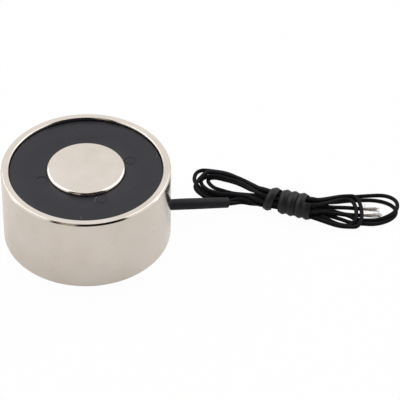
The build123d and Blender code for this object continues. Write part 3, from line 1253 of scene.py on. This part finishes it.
@dataclass
class RibbonTie:
    """A ribbon with a raised core, wound round the bundle and cut off square.

    Its path is a list of crossings: how far along the bundle the ribbon's middle is, each half
    turn, first where it starts beneath the bundle, then at the top, at the bottom and so on.
    """

    axis: TieAxis
    finish: SoftCover = RIBBON
    inner_radius: Pair = (3.9, 4.3)
    width: float = 3.3
    thickness: float = 0.45
    round_edge: float = 0.12
    ridge_width: float = 2.6
    ridge_steps: int = 12
    ridge_height: float = 0.46
    start_angle: float = 300.0
    bottom_angle: float = 228.0
    crossings: tuple[float, ...] = (2.2, 4.5, 8.5, 8.9, 11.8, 12.1, 15.3, 15.7, 18.3, 18.0)
    end_angle: float = 118.0
    step: float = 7.5
    evenness: float = 0.35
    smooth_below: float = 40.0

    def section(self) -> Piece:
        """The ribbon's section: flat with rounded edges, and a broad ridge over its core."""
        half, thin, eased = self.width / 2, self.thickness, self.round_edge
        outline = [(-half, 0.08), (-half, thin - eased), (-half + eased, thin)]
        for index in range(self.ridge_steps + 1):
            share = index / self.ridge_steps
            rise = self.ridge_height * math.sin(math.pi * share) ** 1.2
            outline.append((self.ridge_width * (share - 0.5), thin + rise))
        outline += [(half - eased, thin), (half, thin - eased), (half, 0.08)]
        outline += [(half - 0.1, 0.0), (-half + 0.1, 0.0)]
        curve = bpy.data.curves.new("ribbon_section", "CURVE")
        curve.dimensions = "2D"
        spline = curve.splines.new("POLY")
        spline.points.add(len(outline) - 1)
        for target, (across, out) in zip(spline.points, outline):
            target.co = (-out * MM, across * MM, 0.0, 1.0)
        spline.use_cyclic_u = True
        return put("ribbon_section", curve)

    def along(self, wound: float) -> float:
        """How far along the bundle the ribbon is.

        Args:
            wound: The angle that is wound since the first crossing, in degrees.

        Returns:
            The place of the ribbon's middle, in millimetres.
        """
        places = self.crossings
        share = wound / 180.0
        low = min(max(int(math.floor(share)), 0), len(places) - 2)
        share -= low
        eased = share * share * (3 - 2 * share) if 0 < share < 1 else share
        share = self.evenness * share + (1 - self.evenness) * eased
        return places[low] + (places[low + 1] - places[low]) * share

    def build(self) -> Piece:
        """Winds the ribbon about the Z axis, lays it on the bundle's axis and dresses it."""
        first = self.bottom_angle - self.start_angle
        last = 180.0 * (len(self.crossings) - 2) + self.bottom_angle - self.end_angle
        count = int((last - first) / self.step) + 1
        points = []
        for index in range(count + 1):
            wound = first + (last - first) * index / count
            turn = math.radians(self.bottom_angle - wound)
            along = self.along(wound)
            share = along / self.axis.length()
            radius = self.inner_radius[0] * (1 - share) + self.inner_radius[1] * share
            points.append(Vector((radius * math.cos(turn), radius * math.sin(turn), along)))
        line = smooth_curve("tie", points, 2)
        line.data.twist_mode = "Z_UP"
        line.data.bevel_mode = "OBJECT"
        section = self.section()
        line.data.bevel_object = section
        line.data.use_fill_caps = True
        tie = to_mesh(line)
        bpy.data.objects.remove(section)
        aside, run = self.axis.aside(), self.axis.run()
        turned_frame = Matrix((aside, run.cross(aside), run)).transposed().to_4x4()
        tie.matrix_world = Matrix.Translation(Vector(self.axis.start) * MM) @ turned_frame
        apply_place(tie)
        face_outwards(tie)
        smooth(tie, self.smooth_below)
        dress(tie, self.finish.material(), ["hank_tie"])
        return tie


@dataclass
class StrandFan:
    """The fine strands at the stripped end of one lead, with a few that stray, in millimetres."""

    name: str
    root: Triple
    tip: Triple
    strays: list[Triple]
    replaced: str
    seed: int
    count: int = 17
    strand_radius: float = 0.08
    root_radius: float = 0.46
    fan: float = 8.0
    turn_between: float = 2.4
    inside: Triple = (-1.0, 0.0, 0.0)
    twist: float = 2.0
    shortest: float = 0.78
    flatness: float = 0.6
    stations: Triple = (0.3, 0.65, 0.85)
    smooth_below: float = 60.0
    finish: DrawnMetal = TINNED

    def strand(self, points: list[Vector]) -> Piece:
        """One strand along its points, none of which lies in the floor."""
        for point in points:
            point.z = max(point.z, self.strand_radius)
        strand = smooth_curve(self.name, points, 6)
        strand.data.bevel_depth = self.strand_radius * MM
        strand.data.bevel_resolution = 1
        strand.data.use_fill_caps = True
        return to_mesh(strand)

    def build(self) -> Piece:
        """Lays the strands out of the insulation, each with its own small bend."""
        draw = random.Random(self.seed)
        root, inside = Vector(self.root), Vector(self.inside)
        run = Vector(self.tip) - root
        pieces = []
        for index in range(self.count):
            around = self.turn_between * index
            out = self.root_radius * math.sqrt((index + 0.5) / self.count)
            ring = Vector((0.0, math.cos(around), math.sin(around))) * out
            turn = self.fan * ring.y / self.root_radius + draw.uniform(-self.twist, self.twist)
            turned_way = Matrix.Rotation(math.radians(turn), 3, "Z") @ run
            way = turned_way * draw.uniform(self.shortest, 1.0)
            way.z += ring.z * self.flatness
            sway = Vector((0.0, draw.uniform(-0.12, 0.12), draw.uniform(-0.05, 0.15)))
            points = [root + inside + ring, root + ring]
            points += [root + way * share + ring + sway * share for share in self.stations]
            pieces.append(self.strand(points + [root + way + ring * 0.9]))
        for stray in self.strays:
            middle = root.lerp(Vector(stray), 0.4) + Vector((0.5, 0.0, 0.2))
            pieces.append(self.strand([root + inside, root.copy(), middle, Vector(stray)]))
        fan = join(pieces)
        fan.name = self.name
        smooth(fan, self.smooth_below)
        dress(fan, self.finish.material(), [self.replaced])
        return fan


FAR_LEAD = Lead(
    name="far_lead",
    side=1,
    replaced=["lead_wire_2", "lead_hank"],
    steps=[
        (60.0, 16.1, 3.1), (64.0, 14.1, 3.5), (BundlePlace.NEAR_BOTTOM, Side.RIGHT), (91.7, 4.5, 3.0),
        (95.2, 3.5, 2.3), (98.8, 2.5, 1.9),
        Fold((103.5, 11.2), 4.0, 8.9, 2.5, 2.35, (1.8, 2.2, 2.1), Side.RIGHT), (99.3, 19.6, 2.1),
        (95.5, 17.1, 3.4), (91.8, 13.9, 5.4), (BundlePlace.TOP_FAR, Side.LEFT), (64.2, 22.5, 4.9),
        (59.5, 27.9, 2.9), (55.5, 30.4, 2.3), (48.3, 31.7, 2.4), (46.9, 31.3, 2.6), (45.8, 30.5, 2.8),
        (44.9, 29.2, 3.0), (44.0, 28.0, 3.0), (43.1, 26.7, 3.0), (42.4, 25.3, 2.9), (41.8, 24.1, 2.8),
        (41.7, 23.0, 2.6), (42.1, 22.0, 2.3), (42.8, 21.3, 1.9), (43.8, 20.4, 1.7), (45.1, 19.4, 1.5),
        (46.9, 18.5, 1.2), (51.5, 18.1, 0.9), (57.0, 18.1, 0.9), (62.0, 17.6, 1.4),
        (BundlePlace.BOTTOM_FAR, Side.RIGHT), (91.9, 9.8, 1.6), (95.8, 9.4, 1.0), (99.7, 7.8, 0.8),
        (103.2, 6.0, 0.8), Fold((109.5, 12.35), 11.8, 7.2, 6.1, 1.95, (0.8, 0.8, 0.8), Side.RIGHT),
        (103.2, 19.2, 0.8), (95.6, 16.9, 1.6), (91.9, 14.4, 4.2), (BundlePlace.FAR_TOP, Side.LEFT),
        (64.3, 23.3, 3.4), (59.6, 29.7, 1.3), (57.8, 31.5, 1.1), (55.6, 33.0, 1.0), (53.1, 33.9, 1.1),
        (50.7, 34.4, 1.1), (48.3, 34.8, 1.1), (46.0, 35.1, 1.1), (44.4, 35.1, 1.1), (42.9, 34.5, 1.0),
        (41.9, 33.2, 1.0), (41.4, 31.6, 0.9), (41.3, 29.9, 0.8), (41.5, 28.6, 0.8), (42.1, 27.4, 0.8),
        (42.7, 26.0, 0.8), (43.7, 24.5, 0.8), (44.8, 22.9, 0.8), (46.3, 21.5, 0.8), (48.4, 20.4, 0.8),
        (54.8, 19.5, 0.9), (61.9, 16.9, 3.0), (BundlePlace.CORE_NEAR, Side.RIGHT), (91.9, 11.7, 2.2),
        (95.9, 12.9, 1.1), (99.9, 11.3, 0.8), (102.4, 10.8, 0.8), (105.0, 10.5, 0.8), (108.1, 10.4, 0.8),
    ],
)
NEAR_LEAD = Lead(
    name="near_lead",
    side=-1,
    replaced=["lead_wire_1"],
    steps=[
        (60.0, 16.0, 2.3), (64.0, 14.7, 2.3), (BundlePlace.BOTTOM_NEAR, Side.RIGHT), (91.8, 7.9, 2.4),
        (95.3, 6.2, 1.2), (98.8, 4.6, 0.8),
        Fold((102.0, 10.9), 3.25, 6.85, 0.5, 2.2, (0.8, 2.3, 2.2), Side.RIGHT), (99.2, 17.8, 2.2),
        (95.5, 14.8, 3.4), (91.7, 11.4, 5.6), (BundlePlace.TOP_NEAR, Side.LEFT), (64.2, 20.4, 5.0),
        (59.5, 26.7, 2.9), (55.5, 28.9, 2.2),
        Fold((50.7, 25.4), 7.3, 5.2, -25, 1.75, (2.1, 1.6, 2.1), Side.LEFT), (51.6, 19.3, 2.1),
        (57.2, 18.8, 2.3), (62.3, 16.5, 4.3), (BundlePlace.NEAR_TOP, Side.RIGHT), (91.8, 9.8, 3.2),
        (95.8, 9.4, 2.5), (99.8, 9.6, 2.0), (102.5, 9.4, 1.5), (105.5, 7.4, 1.0),
        Fold((112.4, 14.95), 9.45, 7.35, -2.2, 2.1, (0.8, 2.5, 0.8), Side.RIGHT), (103.4, 20.8, 0.8),
        (99.3, 19.1, 0.9), (95.6, 17.3, 1.6), (91.9, 14.6, 3.0), (BundlePlace.FAR_BOTTOM, Side.LEFT),
        (64.3, 21.7, 2.6), (59.6, 27.2, 1.0), (55.6, 29.2, 0.8),
        Fold((52.0, 26.95), 6.2, 3.15, -31, 1.73, (0.8, 0.8, 0.8), Side.LEFT), (56.4, 21.9, 0.8),
        (59.6, 21.3, 1.0), (63.5, 18.8, 2.9), (BundlePlace.CORE_FAR, Side.RIGHT), (91.9, 12.7, 3.0),
        (96.0, 13.4, 1.5), (100.0, 14.4, 0.8), (102.8, 14.5, 0.8), (105.1, 14.5, 0.8), (108.1, 14.2, 0.8),
    ],
)
STRAND_FANS = (
    StrandFan(
        "strands_far", (108.1, 14.2, 0.8), (115.0, 14.1, 0.5),
        [(109.3, 17.9, 0.3), (109.6, 12.4, 0.2), (114.0, 15.7, 0.2)], "conductor_end_1", 3,
    ),
    StrandFan(
        "strands_near", (108.1, 10.4, 0.8), (115.9, 10.9, 0.5),
        [(113.2, 12.4, 0.3)], "conductor_end_2", 8,
    ),
)


# The studio


@dataclass(frozen=True)
class SoftBox:
    """A soft lamp: its bearing from the camera's side to the right, its rise and distance."""

    name: str
    bearing: float
    brightness: float
    rise: float = 48.0
    distance: float = 1.3
    size: float = 1.1

    def place(self) -> Vector:
        """Where the lamp hangs, in metres."""
        bearing, rise = math.radians(self.bearing), math.radians(self.rise)
        level = math.cos(rise)
        way = Vector((math.sin(bearing) * level, -math.cos(bearing) * level, math.sin(rise)))
        return way * self.distance


@dataclass(frozen=True)
class Cloth:
    """A cloth strip of the room behind the camera, which only bright metal mirrors.

    Its edges are bearings in degrees. It starts at a foot height and rises, and its top is shrunk
    towards the Z axis, all in metres or shares.
    """

    low: float
    high: float
    foot: float = 0.0
    rise: float = 2.1
    shrink: float = 1.0
    colour: Colour = (0.018, 0.015, 0.011, 1.0)


@dataclass
class Studio:
    """The pale floor, the soft light and the camera."""

    elevation: float = 42.04
    roll: float = 1.192
    distance: float = 840.638
    target: Triple = (43.721, 0.0, 16.633)
    focal_pixels: float = 2178.86
    image_pixels: float = 400.0
    sensor: float = 36.0
    floor_size: float = 8.0
    floor_colour: Colour = (0.93, 0.905, 0.87, 1.0)
    floor_white: float = 0.97
    floor_white_mirrored: float = 0.42
    world_light: float = 0.45
    cloth_radius: float = 1.3
    lap: float = 0.3
    cloths: tuple[Cloth, ...] = (
        Cloth(-46.5, -33.0),
        Cloth(-33.0, -13.5, colour=(0.70, 0.64, 0.52, 1.0)),
        Cloth(-13.5, 58.0),
        Cloth(-90.0, 95.0, foot=2.1, rise=0.0, shrink=0.2),
    )
    lamps: tuple[SoftBox, ...] = (
        SoftBox("left_softbox", -120.0, 1.8),
        SoftBox("right_softbox", 122.0, 1.7),
    )

    def camera(self) -> Piece:
        """The camera at the photograph's viewing angle."""
        rise = math.radians(self.elevation)
        roll = math.radians(self.roll)
        back = Vector((0.0, -math.cos(rise), math.sin(rise)))
        right = Vector((1.0, 0.0, 0.0))
        up = back.cross(right)
        across = right * math.cos(roll) + up * math.sin(roll)
        upward = up * math.cos(roll) - right * math.sin(roll)
        data = bpy.data.cameras.new("photo_camera")
        data.sensor_width = self.sensor
        data.lens = self.focal_pixels / self.image_pixels * self.sensor
        data.clip_end = 50.0
        camera = put("photo_camera", data)
        turn = Matrix((across, upward, back)).transposed()
        place = (Vector(self.target) + back * self.distance) * MM
        camera.matrix_world = Matrix.Translation(place) @ turn.to_4x4()
        bpy.context.scene.camera = camera
        return camera

    def floor(self) -> Piece:
        """A plain pale floor, white where it is seen, that keeps the object's shadow."""
        deselect_all()
        bpy.ops.mesh.primitive_plane_add(size=self.floor_size, location=(0.0, 0.0, -FLOOR_DROP))
        floor = bpy.context.object
        floor.name = "floor"
        material = bpy.data.materials.new("pale_floor")
        material.use_nodes = True
        material.node_tree.nodes.clear()
        wiring = Wiring(material.node_tree)
        ray = wiring.node("LightPath").outputs
        seen = wiring.math("MAXIMUM", ray["Is Camera Ray"], ray["Is Transmission Ray"])
        seen = wiring.math("MULTIPLY", seen, self.floor_white)
        mirrored = wiring.math("MULTIPLY", ray["Is Glossy Ray"], self.floor_white_mirrored)
        share = wiring.math("MAXIMUM", seen, mirrored)
        diffuse = wiring.node("BsdfDiffuse", Color=self.floor_colour).outputs[0]
        glow = wiring.node("Emission").outputs[0]
        wiring.finish_with("OutputMaterial", share, diffuse, glow)
        floor.data.materials.append(material)
        return floor

    def hang(self, cloth: Cloth) -> Piece:
        """Hangs one cloth strip in a circle round the object, or as a roof over it.

        Args:
            cloth: The strip's edges, height and colour.

        Returns:
            The strip's object.
        """
        deselect_all()
        bpy.ops.mesh.primitive_circle_add(vertices=360, radius=self.cloth_radius, location=(0, 0, 0))
        strip = bpy.context.object
        strip.name = "cloth"
        mode("EDIT")
        low, high = math.radians(cloth.low - self.lap), math.radians(cloth.high + self.lap)
        select_points(strip, lambda place: not low < math.atan2(place.x, -place.y) < high)
        bpy.ops.mesh.delete(type="VERT")
        select_everything()
        bpy.ops.transform.translate(value=(0, 0, cloth.foot))
        bpy.ops.mesh.extrude_region_move(TRANSFORM_OT_translate={"value": (0, 0, cloth.rise)})
        top = (cloth.shrink, cloth.shrink, 1.0)
        bpy.ops.transform.resize(value=top, center_override=(0, 0, cloth.foot))
        mode("OBJECT")
        material = bpy.data.materials.new("cloth")
        material.use_nodes = True
        shader = material.node_tree.nodes["Principled BSDF"]
        shader.inputs["Base Color"].default_value = cloth.colour
        shader.inputs["Specular IOR Level"].default_value = 0.0
        strip.data.materials.append(material)
        strip.visible_camera = False
        strip.visible_diffuse = False
        strip.visible_shadow = False
        strip.visible_transmission = False
        return strip

    def world(self) -> None:
        """Soft white surroundings: white where they are seen, plainer as light."""
        world = bpy.data.worlds.new("studio")
        bpy.context.scene.world = world
        world.use_nodes = True
        world.node_tree.nodes.clear()
        wiring = Wiring(world.node_tree)
        ray = wiring.node("LightPath").outputs
        seen = wiring.math("MAXIMUM", ray["Is Camera Ray"], ray["Is Glossy Ray"])
        light = wiring.node("Background", Color=WHITE, Strength=self.world_light).outputs[0]
        white = wiring.node("Background", Color=WHITE, Strength=1.0).outputs[0]
        wiring.finish_with("OutputWorld", seen, light, white)

    def lamp(self, box: SoftBox) -> None:
        """Hangs one soft square lamp that points at the object."""
        data = bpy.data.lights.new(box.name, "AREA")
        data.shape = "SQUARE"
        data.size = box.size
        data.energy = box.brightness * math.pi * box.size**2
        lamp = put(box.name, data)
        aim = Vector(self.target) * MM - box.place()
        lamp.location = box.place()
        lamp.rotation_euler = aim.to_track_quat("-Z", "Y").to_euler()

    def build(self) -> None:
        """Sets up the whole studio."""
        bpy.context.scene.view_settings.view_transform = "Standard"
        self.camera()
        self.floor()
        for cloth in self.cloths:
            self.hang(cloth)
        self.world()
        for box in self.lamps:
            self.lamp(box)


def dress_inner_nodes() -> None:
    """Gives the hidden inner parts their own finishes."""
    finishes = {
        "coil_winding": MAGNET_WIRE.material(),
        "winding_tape": FILM_TAPE.material(),
        "potting_resin": CAST_RESIN.material(),
    }
    solder, shrunk = SOLDER.material(), SHRUNK_SLEEVE.material()
    for number in (1, 2):
        finishes[f"splice_{number}"] = solder
        finishes[f"splice_sleeve_{number}"] = shrunk
    for name, material in finishes.items():
        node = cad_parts[name]
        node.data.materials.clear()
        node.data.materials.append(material)
        LOG.info("inner part %s", name)


def main() -> None:
    """Builds the electromagnet's looks, piece by piece."""
    logging.basicConfig(level=logging.INFO, format="%(name)s: %(message)s")
    Studio().build()
    exit_line, tie = LeadExit(), TieAxis()
    leads = Hank().build((FAR_LEAD, NEAR_LEAD), exit_line, tie)
    sleeve = LeadSleeve(exit_line).build()
    ribbon = RibbonTie(tie).build()
    fans = [fan.build() for fan in STRAND_FANS]
    hole = tuple(exit_line.in_pot(exit_line.hole_outside, 0.0, exit_line.height) * MM)
    pot = PotHousing(NickelPlate()).build()
    CentrePole(pot.data.materials[0]).build()
    Bobbin(MouldedNylon()).build()
    dress_inner_nodes()


if __name__ == "__main__":
    main()
